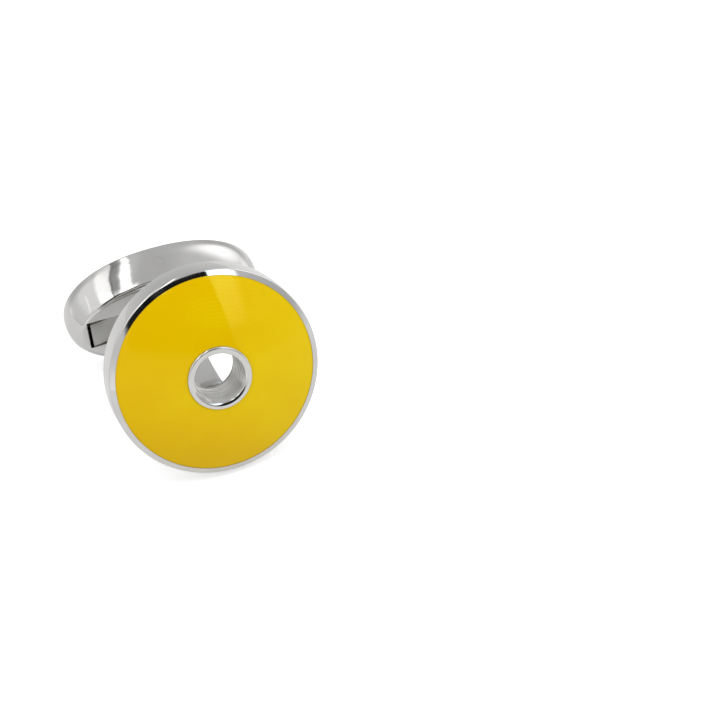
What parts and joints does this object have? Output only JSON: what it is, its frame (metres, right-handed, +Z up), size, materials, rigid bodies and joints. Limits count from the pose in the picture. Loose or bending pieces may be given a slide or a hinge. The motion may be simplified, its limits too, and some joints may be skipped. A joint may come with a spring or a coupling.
{
  "type": "cufflink",
  "caption": "Cufflink: a round silver head with a yellow enamel dome round an open eyelet, a curved post and an oval swivel toggle.",
  "frame": {"origin": "on the table, under the middle of the cufflink's bounding box as it lies at rest", "axes": "+X along the toggle, +Y from the head towards the toggle, +Z up off the table"},
  "size_m": [0.0186, 0.0224, 0.018],
  "materials": {
    "polished_silver": "mirror polished plating",
    "turned_silver": "polished rim, fine turned rings in the bore",
    "yellow_enamel": "glossy cast enamel with a faint silky figure",
    "spring_steel": "satin strip"
  },
  "bodies": {
    "head": {"head_cup": "polished_silver", "enamel_ring": "yellow_enamel", "centre_eyelet": "turned_silver", "post": "polished_silver"},
    "toggle": {"toggle_body": "polished_silver", "hinge_pin": "polished_silver", "leaf_spring": "spring_steel"}
  },
  "joints": [
    {"name": "toggle_swing", "type": "hinge", "parent": "head", "child": "toggle", "pos_m": [0, 0.0086, 0.00541], "axis": [0, -0.0592, 0.9982], "range_deg": [-70, 70]}
  ]
}
